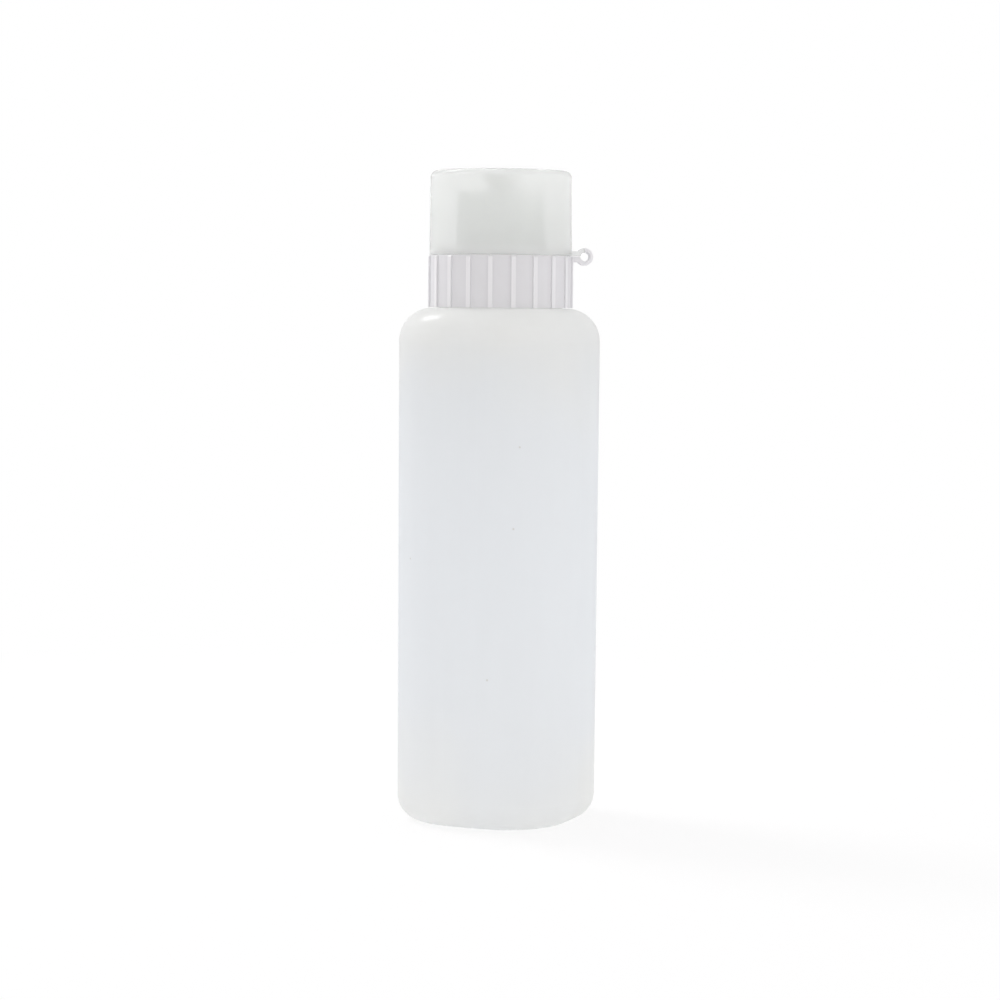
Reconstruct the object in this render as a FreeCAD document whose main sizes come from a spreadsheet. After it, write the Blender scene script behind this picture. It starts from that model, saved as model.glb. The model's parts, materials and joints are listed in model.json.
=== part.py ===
import FreeCAD, Part
import os
import re
import Sketcher

# A small squeeze bottle of natural polyethylene with a screwed flip-lid closure.
# Frame: origin in the middle of the base on the surface it stands on, +Z up,
# X and Y square to the flat sides of the bottle. Millimetres and degrees.

# Driving sizes
SIZES = {
    # bottle
    "body_width_base": 50.8,
    "body_width_top": 51.6,
    "body_corner_radius": 20.9,
    "shoulder_height": 138.6,
    "shoulder_round": 8.9,
    "base_round": 6.6,
    "bottle_wall": 1.1,
    "base_recess_diameter": 33.0,
    "base_recess_depth": 1.6,
    "standing_ring": 2.0,
    "neck_diameter": 33.4,
    "neck_height": 12.4,
    # sealing stack on the neck rim
    "gasket_thickness": 1.0,
    "gasket_overhang": 0.2,
    "flange_thickness": 1.5,
    "flange_inset": 0.1,
    "deck_thickness": 1.6,
    # spout
    "turret_diameter": 24.0,
    "turret_draft": 0.2,
    "turret_wall": 1.3,
    "turret_top_thickness": 1.5,
    "turret_edge_round": 1.0,
    "plug_depth": 4.0,
    "plug_wall": 1.2,
    "plug_clearance": 0.4,
    "tip_base_diameter": 7.6,
    "tip_top_diameter": 5.6,
    "orifice_diameter": 3.0,
    # screw collar
    "thread_room": 1.3,
    "collar_wall": 1.25,
    "collar_gap": 0.15,
    "spigot_height": 2.5,
    "spigot_edge_round": 0.4,
    "seat_clearance": 0.3,
    "deck_clearance": 0.3,
    "rib_count": 20,
    "rib_width": 1.2,
    "rib_height": 0.45,
    # flip lid
    "lid_height": 22.7,
    "lid_draft": 0.25,
    "lid_wall": 1.0,
    "lid_top_thickness": 1.2,
    "lid_edge_round": 1.8,
    "lid_inner_round": 0.8,
    "lid_seat_gap": 0.15,
    "lid_fit_clearance": 0.3,
    "lid_head_room": 4.45,
    # sealing pad in the lid
    "pad_diameter": 9.0,
    "pad_thickness": 1.75,
    "pad_chamfer": 0.3,
    "pad_fit": 0.05,
    "pad_ring_wall": 0.9,
    "pad_ring_inset": 0.4,
    "seal_gap": 0.1,
    # living hinge
    "strap_thickness": 1.2,
    "strap_width": 5.0,
    "loop_bore": 2.3,
    "loop_drop": 0.1,
    "lug_length": 2.2,
    "lug_step": 0.9,
    # angle at which the closure screws tight, from +X to its hinge
    "closure_angle": 23.4,
}

# The most of the base's width that a corner may take
CORNER_SHARE = 0.45

# Radii that follow from them
CORNER_RADIUS = f"min(body_corner_radius; body_width_base * {CORNER_SHARE})"
BASE_ROUND = "min(base_round; (body_width_base - base_recess_diameter) / 2 - standing_ring)"
NECK_RADIUS = "(neck_diameter / 2)"
NECK_BORE = f"({NECK_RADIUS} - bottle_wall)"
FLANGE_RADIUS = f"({NECK_RADIUS} - flange_inset)"
PLUG_RADIUS = f"({NECK_BORE} - plug_clearance)"
SKIRT_BORE = f"({NECK_RADIUS} + thread_room)"
SKIRT_RADIUS = f"({SKIRT_BORE} + collar_wall)"
LID_BORE = f"({SKIRT_RADIUS} - lid_wall)"
SPIGOT_RADIUS = f"({LID_BORE} - lid_fit_clearance)"
TURRET_RADIUS = "(turret_diameter / 2)"
PAD_RADIUS = "(pad_diameter / 2)"
LOOP_RADIUS = "(loop_bore / 2 + strap_thickness)"
LOOP_CENTRE = f"({SKIRT_RADIUS} + lug_length + loop_bore / 2)"
LUG_HEEL = f"({LOOP_CENTRE} - sqrt({LOOP_RADIUS}^2 - ({LOOP_RADIUS} - lug_step)^2))"
COLLAR_TOE = f"({LOOP_CENTRE} - sqrt((loop_bore / 2)^2 - (loop_drop - lid_seat_gap / 2)^2))"
LID_TOE = f"({LOOP_CENTRE} - sqrt((loop_bore / 2)^2 - (loop_drop + lid_seat_gap / 2)^2))"

# Heights that follow from them
RIM_LEVEL = "(shoulder_height + neck_height)"
FLANGE_LEVEL = f"({RIM_LEVEL} + gasket_thickness)"
DECK_LEVEL = f"({FLANGE_LEVEL} + flange_thickness)"
DECK_TOP = f"({DECK_LEVEL} + deck_thickness)"
SKIRT_TOP = f"({DECK_TOP} - spigot_height)"
SKIRT_BASE = "(shoulder_height + collar_gap)"
LID_BASE = f"({SKIRT_TOP} + lid_seat_gap)"
LID_TOP = f"({LID_BASE} + lid_height)"
LID_CEILING = f"({LID_TOP} - lid_top_thickness)"
PAD_BASE = f"({LID_CEILING} - pad_thickness)"
TIP_TOP = f"({PAD_BASE} - seal_gap)"
TURRET_TOP = f"({LID_CEILING} - lid_head_room)"
LOOP_LEVEL = f"({SKIRT_TOP} + lid_seat_gap / 2 - loop_drop)"
LOOP_FOOT = f"({LOOP_LEVEL} - {LOOP_RADIUS})"
LOOP_HEAD = f"({LOOP_LEVEL} + {LOOP_RADIUS})"
BORE_FOOT = f"({LOOP_LEVEL} - loop_bore / 2)"
BORE_HEAD = f"({LOOP_LEVEL} + loop_bore / 2)"

TOLERANCE = 1e-4
FULL_TURN = 360
CELLS = {alias: f"Sizes.{alias}" for alias in SIZES}

doc = FreeCAD.newDocument("squeeze_bottle")
sheet = doc.addObject("Spreadsheet::Sheet", "Sizes")
for row, (alias, number) in enumerate(SIZES.items(), 1):
    sheet.set(f"A{row}", alias)
    sheet.set(f"B{row}", str(number))
    sheet.setAlias(f"B{row}", alias)
doc.recompute()


def bound(text):
    """The expression with every size name pointed at its cell."""
    return re.sub(r"[a-z]\w*", lambda word: CELLS.get(word.group(), word.group()), text)


def value(text):
    return float(sheet.evalExpression(bound(text)))


def new_body(label, turned=False):
    """An empty body, turned with the closure where it belongs to that."""
    body = doc.addObject("PartDesign::Body", label)
    body.Label = label
    if turned:
        body.setExpression("Placement.Rotation.Angle", bound("closure_angle"))
    return body


def new_sketch(body, name, role):
    sketch = body.newObject("Sketcher::SketchObject", name)
    plane = next(item for item in body.Origin.OriginFeatures if item.Role == role)
    sketch.AttachmentSupport = [(plane, "")]
    sketch.MapMode = "FlatFace"
    return sketch


def tie(sketch, kind, refs, text):
    """A dimension whose length is an expression of the sizes."""
    index = sketch.addConstraint(Sketcher.Constraint(kind, *refs, value(text)))
    sketch.setExpression(f"Constraints[{index}]", bound(text))


def hold_point(sketch, curve, end, across, up):
    """Holds a point of a curve at two expressions, or on an axis where one is 0."""
    for kind, axis, text in (("DistanceX", -2, across), ("DistanceY", -1, up)):
        if text == "0":
            sketch.addConstraint(Sketcher.Constraint("PointOnObject", curve, end, axis))
        elif text:
            tie(sketch, kind, (-1, 1, curve, end), text)


def arc_between(start, end, centre_across):
    """The arc about a centre that is this far across. A half circle bulges outwards."""
    chord, spread = end - start, end.Length ** 2 - start.Length ** 2
    centre = FreeCAD.Vector(centre_across, (spread / 2 - centre_across * chord.x) / chord.y, 0)
    lean = (start + end) / 2 - centre
    if lean.Length < TOLERANCE:
        lean = FreeCAD.Vector(1, 0, 0)
    peak = centre + lean.normalize() * (start - centre).Length
    clockwise = (start - centre).cross(peak - centre).z < 0
    return Part.Arc(start, peak, end), clockwise


def outline(body, name, corners, bends):
    """A closed upright sketch through corners given as expressions.

    The side that starts at a corner is straight, or an arc where bends gives
    its number and how far across the arc's centre lies.
    """
    sketch = new_sketch(body, name, "XZ_Plane")
    points = [FreeCAD.Vector(value(across), value(up), 0) for across, up in corners]
    ends = []
    for side, (start, end) in enumerate(zip(points, points[1:] + points[:1])):
        curve, clockwise = Part.LineSegment(start, end), False
        if side in bends:
            curve, clockwise = arc_between(start, end, value(bends[side]))
        sketch.addGeometry(curve, False)
        ends.append((2, 1) if clockwise else (1, 2))
    for side, (across, up) in enumerate(corners):
        before = (side - 1) % len(corners)
        sketch.addConstraint(Sketcher.Constraint("Coincident", before, ends[before][1], side, ends[side][0]))
        hold_point(sketch, side, ends[side][0], across, up)
    for side, across in bends.items():
        hold_point(sketch, side, 3, across, "")
    return sketch


def revolve(body, name, corners, bends=None, kind="Revolution"):
    """A full turn about the axis of an outline of radii and heights, added or cut away."""
    profile = outline(body, f"{name}_profile", corners, bends or {})
    feature = body.newObject(f"PartDesign::{kind}", name)
    feature.Profile = profile
    feature.ReferenceAxis = (profile, ["V_Axis"])
    feature.Angle = FULL_TURN
    doc.recompute()


def pad_across(body, name, corners, width, bends=None):
    """A slab with this side view, half its width on each side of the plane."""
    profile = outline(body, f"{name}_profile", corners, bends or {})
    feature = body.newObject("PartDesign::Pad", name)
    feature.Profile = profile
    feature.SideType = "Symmetric"
    feature.setExpression("Length", bound(width))
    doc.recompute()
    return feature


def ring_edges(body, *rings):
    """Names of the circular edges with these radii and heights."""
    wanted = [(value(radius), value(level)) for radius, level in rings]
    names = []
    for index, edge in enumerate(body.Tip.Shape.Edges, 1):
        if not isinstance(edge.Curve, Part.Circle):
            continue
        found = (edge.Curve.Radius, edge.Curve.Center.z)
        if any(max(abs(a - b) for a, b in zip(found, ring)) < TOLERANCE for ring in wanted):
            names.append(f"Edge{index}")
    return names


def level_edges(body, level):
    """Names of the edges that lie in the plane at this height."""
    return [
        f"Edge{index}"
        for index, edge in enumerate(body.Tip.Shape.Edges, 1)
        if max(abs(vertex.Z - value(level)) for vertex in edge.Vertexes) < TOLERANCE
    ]


def round_edges(body, name, edges, radius):
    base = body.Tip
    feature = body.newObject("PartDesign::Fillet", name)
    feature.Base = (base, edges)
    feature.setExpression("Radius", bound(radius))
    doc.recompute()


def rounded_square(body, name, width):
    """The bottle's plan at the floor: a square with very round corners."""
    sketch = new_sketch(body, name, "XY_Plane")
    half, corner = value(width) / 2, value(CORNER_RADIUS)
    flat, across = half - corner, corner / 2 ** 0.5
    start, end = FreeCAD.Vector(half, -flat, 0), FreeCAD.Vector(half, flat, 0)
    middle, quarter = FreeCAD.Vector(flat + across, flat + across, 0), FreeCAD.Vector(flat, half, 0)
    for side in range(4):
        turn = FreeCAD.Rotation(FreeCAD.Vector(0, 0, 1), side * FULL_TURN / 4)
        at = [turn.multVec(point) for point in (start, end, middle, quarter)]
        sketch.addGeometry(Part.LineSegment(at[0], at[1]), False)
        sketch.addGeometry(Part.Arc(at[1], at[2], at[3]), False)
    right, corner_arc, far, left, near = 0, 1, 2, 4, 6
    for curve in range(8):
        sketch.addConstraint(Sketcher.Constraint("Tangent", curve, 2, (curve + 1) % 8, 1))
    for arc in (3, 5, 7):
        sketch.addConstraint(Sketcher.Constraint("Equal", corner_arc, arc))
    sketch.addConstraint(Sketcher.Constraint("Symmetric", right, 1, right, 2, -1))
    sketch.addConstraint(Sketcher.Constraint("Symmetric", far, 1, far, 2, -2))
    sketch.addConstraint(Sketcher.Constraint("Vertical", left))
    sketch.addConstraint(Sketcher.Constraint("Horizontal", near))
    tie(sketch, "Radius", (corner_arc,), CORNER_RADIUS)
    tie(sketch, "DistanceX", (-1, 1, right, 1), f"{width} / 2")
    tie(sketch, "DistanceY", (-1, 1, far, 1), f"{width} / 2")
    return sketch


def make_bottle():
    """Blow-moulded shell: drafted rounded square, rolled shoulder, plain neck, domed base."""
    body = new_body("bottle")
    plan = rounded_square(body, "base_plan", "body_width_base")
    column = body.newObject("PartDesign::Pad", "column")
    column.Profile = plan
    column.setExpression("Length", bound("shoulder_height"))
    draft = "atan((body_width_top - body_width_base) / 2 / shoulder_height)"
    column.setExpression("TaperAngle", bound(draft))
    doc.recompute()
    round_edges(body, "base_edge", level_edges(body, "0"), BASE_ROUND)
    round_edges(body, "shoulder_edge", level_edges(body, "shoulder_height"), "shoulder_round")
    root = "(shoulder_height - shoulder_round)"
    revolve(body, "neck", [("0", root), (NECK_RADIUS, root), (NECK_RADIUS, RIM_LEVEL), ("0", RIM_LEVEL)])
    dome = [("0", "0"), ("base_recess_diameter / 2", "0"), ("0", "base_recess_depth")]
    revolve(body, "base_recess", dome, bends={1: "0"}, kind="Groove")
    shell_from_rim(body)
    return body


def shell_from_rim(body):
    """Hollows the solid inwards to one wall thickness, open at the neck."""
    base = body.Tip
    rim = max(range(len(base.Shape.Faces)), key=lambda i: base.Shape.Faces[i].CenterOfMass.z)
    shell = body.newObject("PartDesign::Thickness", "shell")
    shell.Base = (base, [f"Face{rim + 1}"])
    shell.Reversed = True
    shell.Join = "Arc"
    shell.setExpression("Value", bound("bottle_wall"))
    doc.recompute()


def make_gasket():
    """Flat ring between the neck rim and the spout's flange."""
    body = new_body("neck_gasket", turned=True)
    inside = f"({NECK_BORE} - gasket_overhang)"
    corners = [(inside, RIM_LEVEL), (FLANGE_RADIUS, RIM_LEVEL)]
    corners += [(FLANGE_RADIUS, FLANGE_LEVEL), (inside, FLANGE_LEVEL)]
    revolve(body, "ring", corners)
    return body


def make_spout():
    """Insert with a plug that enters the neck, a clamped flange, a hollow turret and a short tip."""
    body = new_body("spout", turned=True)
    plug_bore = f"({PLUG_RADIUS} - plug_wall)"
    plug_foot = f"({FLANGE_LEVEL} - plug_depth)"
    turret_crown = f"({TURRET_RADIUS} - turret_draft)"
    ceiling = f"({TURRET_TOP} - turret_top_thickness)"
    outside = [(plug_bore, plug_foot), (PLUG_RADIUS, plug_foot), (PLUG_RADIUS, FLANGE_LEVEL)]
    outside += [(FLANGE_RADIUS, FLANGE_LEVEL), (FLANGE_RADIUS, DECK_LEVEL)]
    outside += [(TURRET_RADIUS, DECK_LEVEL), (turret_crown, TURRET_TOP)]
    tip = [("tip_base_diameter / 2", TURRET_TOP), ("tip_top_diameter / 2", TIP_TOP)]
    passage = [("orifice_diameter / 2", TIP_TOP), ("orifice_diameter / 2", ceiling)]
    passage += [(f"{turret_crown} - turret_wall", ceiling), (f"{TURRET_RADIUS} - turret_wall", FLANGE_LEVEL)]
    revolve(body, "insert", outside + tip + passage + [(plug_bore, FLANGE_LEVEL)])
    round_edges(body, "turret_edge", ring_edges(body, (turret_crown, TURRET_TOP)), "turret_edge_round")
    return body


def make_collar():
    """Screw collar: ribbed skirt round the neck, deck over the flange, spigot for the lid, hinge lug."""
    body = new_body("screw_collar", turned=True)
    deck_hole = f"({TURRET_RADIUS} + deck_clearance)"
    seat_bore = f"({FLANGE_RADIUS} + seat_clearance)"
    outside = [(SKIRT_BORE, SKIRT_BASE), (SKIRT_RADIUS, SKIRT_BASE), (SKIRT_RADIUS, SKIRT_TOP)]
    outside += [(SPIGOT_RADIUS, SKIRT_TOP), (SPIGOT_RADIUS, DECK_TOP), (deck_hole, DECK_TOP)]
    inside = [(deck_hole, DECK_LEVEL), (seat_bore, DECK_LEVEL)]
    inside += [(seat_bore, RIM_LEVEL), (SKIRT_BORE, RIM_LEVEL)]
    revolve(body, "skirt", outside + inside)
    round_edges(body, "spigot_edge", ring_edges(body, (SPIGOT_RADIUS, DECK_TOP)), "spigot_edge_round")
    add_ribs(body)
    buried = f"({SKIRT_RADIUS} - collar_wall / 2)"
    web_foot = f"({LOOP_FOOT} + lug_step)"
    lug = [(buried, web_foot), (LUG_HEEL, web_foot), (LOOP_CENTRE, LOOP_FOOT)]
    lug += [(LOOP_CENTRE, BORE_FOOT), (COLLAR_TOE, SKIRT_TOP), (buried, SKIRT_TOP)]
    pad_across(body, "hinge_lug", lug, "strap_width", bends={1: LOOP_CENTRE, 3: LOOP_CENTRE})
    return body


def add_ribs(body):
    """Upright grip ribs all round the skirt, sloped off at the top, with the hinge between two of them."""
    buried = f"({SKIRT_RADIUS} - collar_wall / 2)"
    crest = f"({SKIRT_RADIUS} + rib_height)"
    corners = [(buried, SKIRT_BASE), (crest, SKIRT_BASE), (crest, f"{SKIRT_TOP} - rib_height")]
    corners += [(SKIRT_RADIUS, SKIRT_TOP), (buried, SKIRT_TOP)]
    rib = pad_across(body, "rib", corners, "rib_width")
    half_pitch = f"{FULL_TURN} / rib_count / 2"
    turned = FreeCAD.Rotation(FreeCAD.Vector(0, 1, 0), value(half_pitch))
    profile = rib.Profile[0]
    profile.AttachmentOffset = FreeCAD.Placement(FreeCAD.Vector(), turned)
    profile.setExpression("AttachmentOffset.Rotation.Angle", bound(half_pitch))
    ribs = body.newObject("PartDesign::PolarPattern", "ribs")
    ribs.Originals = [rib]
    ribs.Axis = (next(item for item in body.Origin.OriginFeatures if item.Role == "Z_Axis"), [""])
    ribs.Angle = FULL_TURN
    ribs.setExpression("Occurrences", bound("rib_count"))
    body.Tip = ribs
    doc.recompute()


def make_strap():
    """Living hinge: a flat strap bent in a half ring, from the collar's lug to the lid's."""
    body = new_body("hinge_strap", turned=True)
    corners = [(LOOP_CENTRE, level) for level in (LOOP_FOOT, LOOP_HEAD, BORE_HEAD, BORE_FOOT)]
    pad_across(body, "loop", corners, "strap_width", bends={0: LOOP_CENTRE, 2: LOOP_CENTRE})
    return body


def make_lid():
    """Flip lid: a drafted cup over the turret, with a ring that grips the pad and a hinge lug."""
    body = new_body("flip_lid", turned=True)
    crown = f"({SKIRT_RADIUS} - lid_draft)"
    crown_bore = f"({crown} - lid_wall)"
    ring_bore = f"({PAD_RADIUS} + pad_fit)"
    ring_radius = f"({ring_bore} + pad_ring_wall)"
    ring_foot = f"({PAD_BASE} + pad_ring_inset)"
    outside = [(LID_BORE, LID_BASE), (SKIRT_RADIUS, LID_BASE), (crown, LID_TOP), ("0", LID_TOP)]
    ring = [(ring_bore, LID_CEILING), (ring_bore, ring_foot)]
    ring += [(ring_radius, ring_foot), (ring_radius, LID_CEILING)]
    revolve(body, "cup", outside + [("0", LID_CEILING)] + ring + [(crown_bore, LID_CEILING)])
    round_edges(body, "crown_edge", ring_edges(body, (crown, LID_TOP)), "lid_edge_round")
    round_edges(body, "ceiling_edge", ring_edges(body, (crown_bore, LID_CEILING)), "lid_inner_round")
    buried = f"({SKIRT_RADIUS} - lid_wall / 2)"
    web_head = f"({LOOP_HEAD} - lug_step)"
    lug = [(buried, LID_BASE), (LID_TOE, LID_BASE), (LOOP_CENTRE, BORE_HEAD)]
    lug += [(LOOP_CENTRE, LOOP_HEAD), (LUG_HEEL, web_head), (buried, web_head)]
    pad_across(body, "hinge_lug", lug, "strap_width", bends={1: LOOP_CENTRE, 3: LOOP_CENTRE})
    return body


def make_pad():
    """Soft disc in the lid that shuts the spout's orifice."""
    body = new_body("lid_seal_pad", turned=True)
    face = f"({PAD_RADIUS} - pad_chamfer)"
    corners = [("0", PAD_BASE), (face, PAD_BASE), (PAD_RADIUS, f"{PAD_BASE} + pad_chamfer")]
    revolve(body, "disc", corners + [(PAD_RADIUS, LID_CEILING), ("0", LID_CEILING)])
    return body


def main():
    makers = (make_bottle, make_gasket, make_spout, make_collar, make_strap, make_lid, make_pad)
    bodies = [make() for make in makers]
    doc.recompute()
    failed = [item.Name for item in doc.Objects if {"Invalid", "Error"} & set(item.State)]
    failed += [body.Label for body in bodies if body.Shape.isNull() or not body.Shape.isValid()]
    if failed:
        raise RuntimeError(f"these did not build: {failed}")
    os.makedirs("parts", exist_ok=True)
    for body in bodies:
        body.Shape.exportStep(f"parts/{body.Label}.step")
        print(f"{body.Label}: {body.Shape.Volume:.1f} mm3, {len(body.Shape.Solids)} solid")


main()
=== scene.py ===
import json
import math

import bmesh
import bpy
import numpy as np
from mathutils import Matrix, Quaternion, Vector


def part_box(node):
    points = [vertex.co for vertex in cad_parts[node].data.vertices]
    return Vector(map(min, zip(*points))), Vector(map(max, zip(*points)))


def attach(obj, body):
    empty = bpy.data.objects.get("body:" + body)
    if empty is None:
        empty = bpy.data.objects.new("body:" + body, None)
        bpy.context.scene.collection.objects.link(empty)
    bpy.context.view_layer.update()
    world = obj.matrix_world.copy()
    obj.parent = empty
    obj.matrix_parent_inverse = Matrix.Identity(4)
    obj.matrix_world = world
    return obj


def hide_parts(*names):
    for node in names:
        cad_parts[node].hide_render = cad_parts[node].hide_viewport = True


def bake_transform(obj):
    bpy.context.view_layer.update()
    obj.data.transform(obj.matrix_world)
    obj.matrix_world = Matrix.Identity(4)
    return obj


# A squeeze bottle of natural polyethylene with a ribbed screw collar and a frosted flip lid.
# Sizes are written in millimetres and turned to the frame's metres by MM.
MM = 0.001
FULL_TURN = 2 * math.pi

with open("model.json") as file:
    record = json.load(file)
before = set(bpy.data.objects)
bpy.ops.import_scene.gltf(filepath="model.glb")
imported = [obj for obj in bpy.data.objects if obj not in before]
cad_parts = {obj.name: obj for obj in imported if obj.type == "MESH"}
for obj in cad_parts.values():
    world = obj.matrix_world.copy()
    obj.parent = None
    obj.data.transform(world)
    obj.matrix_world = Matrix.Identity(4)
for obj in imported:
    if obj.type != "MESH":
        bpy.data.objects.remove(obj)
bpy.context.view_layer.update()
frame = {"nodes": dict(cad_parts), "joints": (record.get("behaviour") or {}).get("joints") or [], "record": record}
nodes = frame["nodes"]
joints = {joint["name"]: joint for joint in frame["joints"]}

# Camera: where the photograph was taken from, about the bottle's axis. Its own values are lens and sensor in
# millimetres and the far limit in metres.
CAMERA_TURN = math.radians(22.2)
CAMERA_REACH = 785 * MM
CAMERA_HEIGHT = 139.7 * MM
AIM_HEIGHT = 86.66 * MM
AIM_ASIDE = 0.4 * MM
CAMERA_ROLL = math.radians(0.49)
CAMERA_LENS = 104.4
CAMERA_SENSOR = 36.0
CAMERA_FAR = 100.0

# Fill light: the direction that it is strongest from, behind the bottle, and its two levels
BRIGHT_TURN = math.radians(175)
DIM_FILL = 0.76
BRIGHT_FILL = 0.96

# Softboxes: degrees to the picture's right of the camera, then reach, height and side in metres, and radiance
SOFTBOXES = {
    "softbox_behind": (-127, 0.85, 1.05, 0.36, 12.0),
    "softbox_left": (-115, 1.1, 0.25, 1.0, 0.3),
    "softbox_right": (64, 1.1, 0.3, 1.4, 0.3),
}

# Floor: its own shade shows near the bottle and gives way to the white backdrop further out
FLOOR_RADIUS = 2000 * MM
FLOOR_RINGS = 24
FLOOR_SIDES = 64
SHADE_NEAR = 60 * MM
SHADE_FAR = 400 * MM
WHITE_NEAR_SHARE = 0.8

# Light that passes the bottle's walls meets many faces before it comes out
BOUNCES = 12

# Edges sharper than this stay sharp in a smooth mesh
SHARP_ANGLE = math.radians(50)

# Screw thread between neck and collar
THREAD_PITCH = frame["record"]["behaviour"]["couplings"][0]["ratio"] * FULL_TURN
THREAD_TURNS = 1.75
THREAD_FOOT = 141.4 * MM
THREAD_HEIGHT = 0.9 * MM
THREAD_HALF_WIDTH = 0.75 * MM
THREAD_ROOT = 0.1 * MM
THREAD_DROP = 1.75 * MM
THREAD_SQUARENESS = 3.0
THREAD_RUN_OUT = 0.12
THREAD_END_SHARE = 0.02
THREAD_STEPS = 240
THREAD_SIDES = 20
NECK_RADIUS = 16.7 * MM
COLLAR_BORE = 18.0 * MM

# Living hinge
STRAP_THICKNESS = 1.2 * MM
STRAP_WIDTH = 5.0 * MM
STRAP_EDGE_SQUARENESS = 5.0
STRAP_STEPS = 60
STRAP_SIDES = 28
STRAP_BEND_SHARE = 0.62

# Weld across the base, where the blow mould nipped its tube shut
WELD_WIDTH = 0.9 * MM
WELD_HEIGHT = 0.3 * MM
WELD_LENGTH_SHARE = 0.9
WELD_SQUARENESS = 2.0
WELD_STEPS = 120
WELD_SIDES = 12
RECESS_RADIUS = 16.5 * MM
RECESS_DEPTH = 1.6 * MM

# Sealing pad in the lid, a hair's breadth under the lid's top so that light gets between them
PAD_EDGE = 0.3 * MM
PAD_AIR = 0.12 * MM
PAD_SIDES = 96
PAD_STEPS = 9

# Distances from the axis that part the collar's white inside, its greyer skirt and its ribs, whose crests get a
# painted highlight
SKIRT_INSIDE = 18.2 * MM
SKIRT_OUTSIDE = 19.1 * MM
RIB_FOOT = 19.3 * MM
RIB_CREST = 19.6 * MM

# Gel specks in the bottle's wall, and how far a moulding's roughness strays
GEL_SPACING = 11 * MM
GEL_CORE = 0.165 * MM
GEL_EDGE = 0.385 * MM
ROUGHNESS_SPREAD = 0.04


def srgb(code):
    """The linear colour of an sRGB hex code, with full alpha."""
    parts = np.array([int(code[i : i + 2], 16) for i in (1, 3, 5)]) / 255
    linear = np.where(parts <= 0.04045, parts / 12.92, ((parts + 0.055) / 1.055) ** 2.4)
    return (*linear.tolist(), 1.0)


def add(tree, kind, inputs=None, **settings):
    """A new node with its settings, its inputs set to values or linked from other nodes' outputs."""
    made = tree.nodes.new(kind)
    for name, setting in settings.items():
        setattr(made, name, setting)
    for name, source in (inputs or {}).items():
        if isinstance(source, bpy.types.NodeSocket):
            tree.links.new(source, made.inputs[name])
        else:
            made.inputs[name].default_value = source
    return made


def new_material(name):
    """A material with an empty node tree."""
    material = bpy.data.materials.new(name)
    material.use_nodes = True
    material.node_tree.nodes.clear()
    return material


def surface(name, points):
    """A closed mesh through a grid of points: rows follow a path, columns go once round its section."""
    rows, columns = points.shape[:2]
    index = np.arange(rows * columns).reshape(rows, columns)
    beside = np.roll(index, -1, axis=1)
    quads = np.stack([index[:-1], beside[:-1], beside[1:], index[1:]], axis=-1).reshape(-1, 4)
    faces = quads.tolist() + [index[0].tolist(), index[-1].tolist()]
    mesh = bpy.data.meshes.new(name)
    mesh.from_pydata(points.reshape(-1, 3).tolist(), [], faces)
    shell = bmesh.new()
    shell.from_mesh(mesh)
    bmesh.ops.recalc_face_normals(shell, faces=shell.faces)
    shell.to_mesh(mesh)
    shell.free()
    mesh.shade_smooth()
    mesh.set_sharp_from_angle(angle=SHARP_ANGLE)
    made = bpy.data.objects.new(name, mesh)
    bpy.context.scene.collection.objects.link(made)
    return made


def squared_circle(sides, squareness):
    """One turn of a circle pushed towards a square: each coordinate is a cosine or sine to a power."""
    turn = np.linspace(0, FULL_TURN, sides, endpoint=False)
    flat = [np.sign(f) * np.abs(f) ** (2 / squareness) for f in (np.cos(turn), np.sin(turn))]
    return flat[0], flat[1]


def thread_ridge(name, radius, outwards, foot):
    """A ridge on a helix: a squared half circle on a wall climbs one pitch a turn and fades at both ends.

    Height over the axis is foot + pitch * turns, and the ridge's size is multiplied by a smooth step
    from 0 to 1 over the run-out at each end.
    """
    turns = np.linspace(0, THREAD_TURNS, THREAD_STEPS)[:, None]
    ends = np.minimum(turns, THREAD_TURNS - turns) / THREAD_RUN_OUT
    size = np.clip(ends, THREAD_END_SHARE, 1)
    size = size * size * (3 - 2 * size)
    along, out = squared_circle(THREAD_SIDES, THREAD_SQUARENESS)
    rise = np.where(out > 0, out * THREAD_HEIGHT, out * THREAD_ROOT) * size
    reach = radius + outwards * rise
    level = foot + THREAD_PITCH * turns + along * THREAD_HALF_WIDTH * size
    angle = turns * FULL_TURN
    return surface(name, np.stack([reach * np.cos(angle), reach * np.sin(angle), level], axis=-1))


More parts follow.
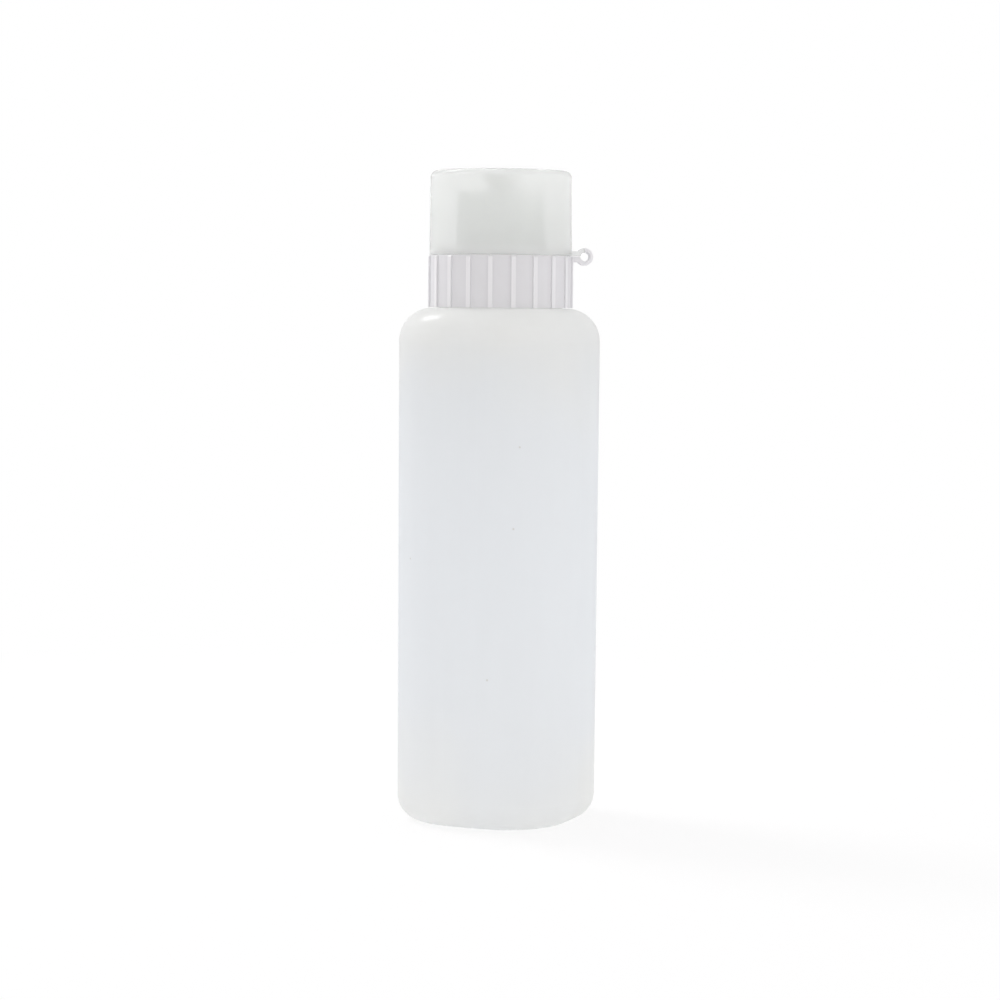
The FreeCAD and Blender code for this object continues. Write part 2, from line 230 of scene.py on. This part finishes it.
def hinge_band():
    """The strap at rest: a flat section with rounded edges on a path that runs out, turns and runs back in.

    The path is a straight run at the foot, a half circle and a straight run at the head, taken at even steps.
    """
    hinge = joints["lid_hinge"]
    side = Vector(hinge["axis"])
    out = np.array(side.cross(Vector((0, 0, 1))))
    strap = nodes["hinge_strap"].data
    places = np.empty(3 * len(strap.vertices), dtype=np.float32)
    strap.vertices.foreach_get("co", places)
    places = places.reshape(-1, 3).astype(float)
    lug_end = (places @ out).min()
    foot, head = places[:, 2].min(), places[:, 2].max()
    centre_level = (foot + head) / 2
    bend = (head - foot - STRAP_THICKNESS) / 2
    centre_out = (places @ out).max() - (head - foot) / 2
    run = centre_out - lug_end
    step = np.linspace(0, 2 * run + math.pi * bend, STRAP_STEPS)
    turn = np.clip((step - run) / bend, 0, math.pi)
    past = np.maximum(step - run - math.pi * bend, 0)
    across = np.minimum(step, run) - past + lug_end + bend * np.sin(turn)
    up = centre_level - bend * np.cos(turn)
    wide, thick = squared_circle(STRAP_SIDES, STRAP_EDGE_SQUARENESS)
    radial = across[:, None] + thick * STRAP_THICKNESS / 2 * np.sin(turn)[:, None]
    level = up[:, None] - thick * STRAP_THICKNESS / 2 * np.cos(turn)[:, None]
    aside = np.broadcast_to(wide * STRAP_WIDTH / 2, radial.shape)
    points = radial[..., None] * out + aside[..., None] * np.array(side) + level[..., None] * [0, 0, 1]
    band = surface("hinge_band", points)
    middle = Vector((*hinge["pos_m"][:2], centre_level))
    half_bend = Vector((0, 0, STRAP_BEND_SHARE * bend))
    return band, middle - half_bend, middle + half_bend


def base_weld():
    """Weld where the mould nipped the tube shut: a low ridge across the domed recess, fading to its ends."""
    dome = (RECESS_RADIUS ** 2 + RECESS_DEPTH ** 2) / (2 * RECESS_DEPTH)
    across = np.linspace(-1, 1, WELD_STEPS)[:, None] * RECESS_RADIUS * WELD_LENGTH_SHARE
    ceiling = np.sqrt(dome ** 2 - across ** 2) - dome + RECESS_DEPTH
    fade = 1 - (across / RECESS_RADIUS) ** 4
    wide, proud = squared_circle(WELD_SIDES, WELD_SQUARENESS)
    level = ceiling - proud * WELD_HEIGHT * fade * np.minimum(1, ceiling / WELD_HEIGHT)
    aside = wide * WELD_WIDTH / 2 * fade
    return surface("base_weld", np.stack([np.broadcast_to(across, level.shape), aside, level], axis=-1))


def seal_pad():
    """The sealing pad: a straight side with a quarter circle at each edge, turned about the bottle's axis."""
    low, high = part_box("lid_seal_pad")
    radius = (high.x - low.x) / 2 - PAD_EDGE
    quarter = np.linspace(0, math.pi / 2, PAD_STEPS)
    reach = radius + PAD_EDGE * np.concatenate([np.sin(quarter), np.cos(quarter)])
    level = np.concatenate([
        low.z + PAD_EDGE - PAD_EDGE * np.cos(quarter),
        high.z - PAD_AIR - PAD_EDGE + PAD_EDGE * np.sin(quarter),
    ])
    angle = np.linspace(0, FULL_TURN, PAD_SIDES, endpoint=False)
    across, along = np.outer(reach, np.cos(angle)), np.outer(reach, np.sin(angle))
    height = np.broadcast_to(level[:, None], across.shape)
    return surface("seal_pad", np.stack([across, along, height], axis=-1))


def let_light_through(tree, shader, colour, share):
    """Finishes a milky plastic: this share of the light passes through each face and comes out scattered."""
    through = add(tree, "ShaderNodeBsdfTranslucent", {"Color": colour})
    wall = add(tree, "ShaderNodeMixShader", {0: share, 1: shader.outputs[0], 2: through.outputs[0]})
    add(tree, "ShaderNodeOutputMaterial", {"Surface": wall.outputs[0]})


def bottle_plastic():
    """Natural low-density polyethylene, blow moulded: milky and satin, faintly rippled and streaked upwards.

    The wall is thinnest half way up, where it looks a little bluer, and thicker at the base and shoulder.
    A gel speck of about half a millimetre shows here and there.
    """
    material = new_material("natural_ldpe_blow_moulded")
    tree = material.node_tree
    place = add(tree, "ShaderNodeTexCoord").outputs["Object"]
    height = add(tree, "ShaderNodeSeparateXYZ", {0: place}).outputs["Z"]
    cloud = add(tree, "ShaderNodeTexNoise", {"Vector": place, "Scale": 1 / (40 * MM), "Detail": 2.0})
    wander = add(tree, "ShaderNodeMath", {
        0: cloud.outputs[0], 1: 60 * MM, 2: height,
    }, operation="MULTIPLY_ADD").outputs[0]
    above = add(tree, "ShaderNodeMapRange", {
        0: wander, "From Min": 25 * MM, "From Max": 60 * MM,
    }, interpolation_type="SMOOTHSTEP").outputs[0]
    below = add(tree, "ShaderNodeMapRange", {
        0: wander, "From Min": 135 * MM, "From Max": 170 * MM, "To Min": 1.0, "To Max": 0.0,
    }, interpolation_type="SMOOTHSTEP").outputs[0]
    thin = add(tree, "ShaderNodeMath", {0: above, 1: below}, operation="MULTIPLY").outputs[0]
    stretched = add(tree, "ShaderNodeMapping", {"Vector": place, "Scale": (1, 1, 0.08)}).outputs[0]
    streaks = add(tree, "ShaderNodeTexNoise", {"Vector": stretched, "Scale": 1 / (5 * MM), "Detail": 3.0})
    ripple = add(tree, "ShaderNodeTexNoise", {"Vector": place, "Scale": 1 / (14 * MM), "Detail": 1.0})
    # The real grain of the mould is finer, and is drawn as coarse as it needs to show
    grain = add(tree, "ShaderNodeTexNoise", {"Vector": place, "Scale": 1 / (0.7 * MM), "Detail": 2.0})
    gels = add(tree, "ShaderNodeTexVoronoi", {"Vector": place, "Scale": 1 / GEL_SPACING}).outputs["Distance"]
    speck = add(tree, "ShaderNodeMapRange", {
        0: gels, "From Min": GEL_CORE / GEL_SPACING, "From Max": GEL_EDGE / GEL_SPACING,
        "To Min": 1.0, "To Max": 0.0,
    }, interpolation_type="SMOOTHSTEP").outputs[0]
    clean = add(tree, "ShaderNodeMix", {
        0: thin, 6: srgb("#FBFBFA"), 7: srgb("#F9FAFB"),
    }, data_type="RGBA")
    tint = add(tree, "ShaderNodeMix", {0: speck, 6: clean.outputs[2], 7: srgb("#E9E8E4")}, data_type="RGBA")
    pale = add(tree, "ShaderNodeMix", {
        0: streaks.outputs[0], 6: srgb("#FDFDFD"), 7: srgb("#FFFFFF"),
    }, data_type="RGBA")
    colour = add(tree, "ShaderNodeMix", {
        0: 1.0, 6: tint.outputs[2], 7: pale.outputs[2],
    }, data_type="RGBA", blend_type="MULTIPLY")
    rough = add(tree, "ShaderNodeMapRange", {0: grain.outputs[0], "To Min": 0.15, "To Max": 0.25})
    waves = add(tree, "ShaderNodeBump", {
        "Height": ripple.outputs[0], "Strength": 0.35, "Distance": 0.25 * MM,
    })
    matt = add(tree, "ShaderNodeBump", {
        "Height": grain.outputs[0], "Strength": 0.25, "Distance": 0.01 * MM, "Normal": waves.outputs[0],
    })
    shader = add(tree, "ShaderNodeBsdfPrincipled", {
        "Base Color": colour.outputs[2], "Roughness": rough.outputs[0], "Normal": matt.outputs[0],
        "IOR": 1.51, "Specular IOR Level": 0.6,
    })
    let_light_through(tree, shader, colour.outputs[2], share=0.75)
    return material


def moulded_plastic(name, pale, deep, roughness, patch, through):
    """Plastic or rubber from a mould: one colour with faint flow marks, which its roughness follows."""
    material = new_material(name)
    tree = material.node_tree
    place = add(tree, "ShaderNodeTexCoord").outputs["Object"]
    flow = add(tree, "ShaderNodeTexNoise", {"Vector": place, "Scale": 1 / patch, "Detail": 2.0})
    colour = add(tree, "ShaderNodeMix", {0: flow.outputs[0], 6: srgb(deep), 7: srgb(pale)}, data_type="RGBA")
    rough = add(tree, "ShaderNodeMapRange", {
        0: flow.outputs[0], "To Min": roughness - ROUGHNESS_SPREAD, "To Max": roughness + ROUGHNESS_SPREAD,
    })
    shader = add(tree, "ShaderNodeBsdfPrincipled", {
        "Base Color": colour.outputs[2], "Roughness": rough.outputs[0], "IOR": 1.49,
    })
    let_light_through(tree, shader, colour.outputs[2], share=through)
    return material


def lid_plastic():
    """Natural polypropylene with a frosted skin: hazy enough that the spout shows only as a soft block.

    The wall is thin, so it bends light little and its IOR is low. The coat gives the skin its gloss.
    """
    material = new_material("natural_pp_frosted")
    tree = material.node_tree
    place = add(tree, "ShaderNodeTexCoord").outputs["Object"]
    flow = add(tree, "ShaderNodeTexNoise", {"Vector": place, "Scale": 1 / (9 * MM), "Detail": 2.0})
    colour = add(tree, "ShaderNodeMix", {
        0: flow.outputs[0], 6: srgb("#FCFDFC"), 7: srgb("#FEFEFE"),
    }, data_type="RGBA")
    shader = add(tree, "ShaderNodeBsdfPrincipled", {
        "Base Color": colour.outputs[2], "Roughness": 0.15, "IOR": 1.15, "Transmission Weight": 0.85,
        "Coat Weight": 0.3, "Coat Roughness": 0.1,
    })
    let_light_through(tree, shader, colour.outputs[2], share=0.33)
    return material


def collar_plastic():
    """Natural polypropylene from a blasted mould: satin, white inside and a little greyer outside. The rib crests
    are paler: a painted highlight that stands in for the light that the ribs catch.

    The distance from the bottle's axis tells the white inside, the greyer skirt and the painted highlight on the
    ribs apart.
    """
    material = new_material("natural_pp_satin")
    tree = material.node_tree
    place = add(tree, "ShaderNodeTexCoord").outputs["Object"]
    level = add(tree, "ShaderNodeVectorMath", {0: place, 1: (1, 1, 0)}, operation="MULTIPLY").outputs[0]
    away = add(tree, "ShaderNodeVectorMath", {0: level}, operation="LENGTH").outputs["Value"]
    out = add(tree, "ShaderNodeMapRange", {
        0: away, "From Min": SKIRT_INSIDE, "From Max": SKIRT_OUTSIDE,
    }).outputs[0]
    # Painted highlight: the rib crests get a paler colour for the light that they catch
    painted_rib_highlight = add(tree, "ShaderNodeMapRange", {
        0: away, "From Min": RIB_FOOT, "From Max": RIB_CREST,
    }).outputs[0]
    flow = add(tree, "ShaderNodeTexNoise", {"Vector": place, "Scale": 1 / (6 * MM), "Detail": 2.0})
    skirt = add(tree, "ShaderNodeMix", {
        0: flow.outputs[0], 6: srgb("#EAEAEC"), 7: srgb("#EEEEF1"),
    }, data_type="RGBA")
    # White inside the skirt, a little greyer outside it
    wall = add(tree, "ShaderNodeMix", {0: out, 6: srgb("#FFFFFF"), 7: skirt.outputs[2]}, data_type="RGBA")
    colour = add(tree, "ShaderNodeMix", {0: painted_rib_highlight, 6: wall.outputs[2], 7: srgb("#F8F8FA")}, data_type="RGBA")
    rough = add(tree, "ShaderNodeMapRange", {0: flow.outputs[0], "To Min": 0.4, "To Max": 0.48})
    shader = add(tree, "ShaderNodeBsdfPrincipled", {
        "Base Color": colour.outputs[2], "Roughness": rough.outputs[0], "IOR": 1.49,
    })
    let_light_through(tree, shader, colour.outputs[2], share=0.15)
    return material


def dress(made, material):
    """Gives a piece one material all over."""
    made.data.materials.clear()
    made.data.materials.append(material)


def dress_nodes():
    """Every carried-over node gets its own plastic or rubber."""
    # Silicone rubber, pressed: soft white, matt and a little see-through
    silicone = moulded_plastic(
        "white_silicone", "#FBFBF9", "#F7F7F5", roughness=0.6, patch=3 * MM, through=0.5,
    )
    # Natural low-density polyethylene, injection moulded: milky white with a satin skin
    spout = moulded_plastic(
        "natural_ldpe_moulded", "#FCFDFC", "#F9FAF9", roughness=0.36, patch=6 * MM, through=0.45,
    )
    finishes = {
        "bottle": bottle_plastic(),
        "spout": spout,
        "screw_collar": collar_plastic(),
        "flip_lid": lid_plastic(),
        "neck_gasket": silicone,
        "lid_seal_pad": silicone,
    }
    for name, material in finishes.items():
        dress(nodes[name], material)
    return finishes


def add_pieces(finishes):
    """The pieces that the frame leaves to this script. Each but the hinge band is put on the body that carries it.
    """
    neck_thread = thread_ridge("neck_thread", NECK_RADIUS, 1, THREAD_FOOT)
    collar_thread = thread_ridge("collar_thread", COLLAR_BORE, -1, THREAD_FOOT - THREAD_DROP)
    for piece in (neck_thread, base_weld()):
        dress(piece, finishes["bottle"])
        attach(piece, "bottle")
    dress(collar_thread, finishes["screw_collar"])
    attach(collar_thread, "collar")
    pad = seal_pad()
    dress(pad, finishes["lid_seal_pad"])
    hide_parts("lid_seal_pad")
    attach(pad, "lid")
    band, start, end = hinge_band()
    dress(band, finishes["screw_collar"])
    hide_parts("hinge_strap")
    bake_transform(band)


def round_from_camera(turn, reach, height):
    """A point round the bottle: turn is to the picture's right of the camera's own direction."""
    angle = CAMERA_TURN + turn
    return Vector((reach * math.sin(angle), -reach * math.cos(angle), height))


def add_camera():
    """The photograph's camera, aimed at the bottle's middle and rolled a little."""
    camera = bpy.data.cameras.new("camera")
    camera.lens = CAMERA_LENS
    camera.sensor_width = CAMERA_SENSOR
    camera.clip_end = CAMERA_FAR
    holder = bpy.data.objects.new("camera", camera)
    holder.location = round_from_camera(0, CAMERA_REACH, CAMERA_HEIGHT)
    aim = Vector((math.cos(CAMERA_TURN) * AIM_ASIDE, math.sin(CAMERA_TURN) * AIM_ASIDE, AIM_HEIGHT))
    facing = (aim - holder.location).to_track_quat("-Z", "Y")
    holder.rotation_mode = "QUATERNION"
    holder.rotation_quaternion = facing @ Quaternion((0, 0, 1), CAMERA_ROLL)
    bpy.context.scene.collection.objects.link(holder)
    bpy.context.scene.camera = holder


def softbox(name, turn, reach, height, size, radiance):
    """A square lamp of even brightness that faces the bottle. Power is radiance times area times pi."""
    lamp = bpy.data.lights.new(name, "AREA")
    lamp.shape = "SQUARE"
    lamp.size = size
    lamp.energy = radiance * size ** 2 * math.pi
    holder = bpy.data.objects.new(name, lamp)
    holder.location = round_from_camera(math.radians(turn), reach, height)
    aim = Vector((0, 0, AIM_HEIGHT))
    holder.rotation_mode = "QUATERNION"
    holder.rotation_quaternion = (aim - holder.location).to_track_quat("-Z", "Y")
    holder.visible_camera = False
    bpy.context.scene.collection.objects.link(holder)


def seen_directly(tree):
    """1 for the rays that show the backdrop: from the camera, off gloss and through clear plastic."""
    path = add(tree, "ShaderNodeLightPath")
    mirrored = add(tree, "ShaderNodeMath", {
        0: path.outputs["Is Camera Ray"], 1: path.outputs["Is Glossy Ray"],
    }, operation="MAXIMUM")
    return add(tree, "ShaderNodeMath", {
        0: mirrored.outputs[0], 1: path.outputs["Is Transmission Ray"],
    }, operation="MAXIMUM").outputs[0]


def add_studio():
    """White surroundings, brighter and cooler behind the bottle, with a lamp for glints and two at the sides.

    The fill's strength changes evenly with the direction: its dot product with the bright side's direction.
    """
    world = bpy.data.worlds.new("studio")
    world.use_nodes = True
    tree = world.node_tree
    tree.nodes.clear()
    bright_side = round_from_camera(BRIGHT_TURN, 1, 0)
    direction = add(tree, "ShaderNodeTexCoord").outputs["Generated"]
    towards = add(tree, "ShaderNodeVectorMath", {0: direction, 1: bright_side}, operation="DOT_PRODUCT")
    share = add(tree, "ShaderNodeMapRange", {0: towards.outputs["Value"], "From Min": -1.0})
    dim = add(tree, "ShaderNodeBackground", {"Color": srgb("#FFFBF8"), "Strength": DIM_FILL})
    bright = add(tree, "ShaderNodeBackground", {"Color": srgb("#FBFAFF"), "Strength": BRIGHT_FILL})
    fill = add(tree, "ShaderNodeMixShader", {0: share.outputs[0], 1: dim.outputs[0], 2: bright.outputs[0]})
    white = add(tree, "ShaderNodeBackground", {"Color": srgb("#FFFFFF"), "Strength": 1.0})
    shown = add(tree, "ShaderNodeMixShader", {
        0: seen_directly(tree), 1: fill.outputs[0], 2: white.outputs[0],
    })
    add(tree, "ShaderNodeOutputWorld", {"Surface": shown.outputs[0]})
    bpy.context.scene.world = world
    for name, settings in SOFTBOXES.items():
        softbox(name, *settings)


def add_floor():
    """A round floor on rings of points: it keeps the bottle's shadow and fades to white further out."""
    rings = np.linspace(0, 1, FLOOR_RINGS)[:, None] ** 2 * FLOOR_RADIUS
    angle = np.linspace(0, FULL_TURN, FLOOR_SIDES, endpoint=False)[None, :]
    points = np.stack([rings * np.cos(angle), rings * np.sin(angle), np.zeros_like(rings * angle)], axis=-1)
    rows, columns = points.shape[:2]
    index = np.arange(rows * columns).reshape(rows, columns)
    beside = np.roll(index, -1, axis=1)
    quads = np.stack([index[1:-1], index[2:], beside[2:], beside[1:-1]], axis=-1).reshape(-1, 4)
    mesh = bpy.data.meshes.new("floor")
    mesh.from_pydata(points.reshape(-1, 3).tolist(), [], quads.tolist() + [index[1].tolist()])
    floor = bpy.data.objects.new("floor", mesh)
    bpy.context.scene.collection.objects.link(floor)
    material = new_material("white_card")
    tree = material.node_tree
    place = add(tree, "ShaderNodeTexCoord").outputs["Object"]
    away = add(tree, "ShaderNodeVectorMath", {0: place}, operation="LENGTH").outputs["Value"]
    fade = add(tree, "ShaderNodeMapRange", {
        0: away, "From Min": SHADE_NEAR, "From Max": SHADE_FAR, "To Min": WHITE_NEAR_SHARE, "To Max": 1.0,
    })
    share = add(tree, "ShaderNodeMath", {0: fade.outputs[0], 1: seen_directly(tree)}, operation="MULTIPLY")
    card = add(tree, "ShaderNodeBsdfDiffuse", {"Color": srgb("#FAFAFA")})
    white = add(tree, "ShaderNodeEmission", {"Color": srgb("#FFFFFF"), "Strength": 1.0})
    shown = add(tree, "ShaderNodeMixShader", {0: share.outputs[0], 1: card.outputs[0], 2: white.outputs[0]})
    add(tree, "ShaderNodeOutputMaterial", {"Surface": shown.outputs[0]})
    dress(floor, material)


add_pieces(dress_nodes())
add_camera()
add_studio()
add_floor()
bpy.context.scene.cycles.diffuse_bounces = BOUNCES
bpy.context.scene.view_settings.view_transform = "Standard"
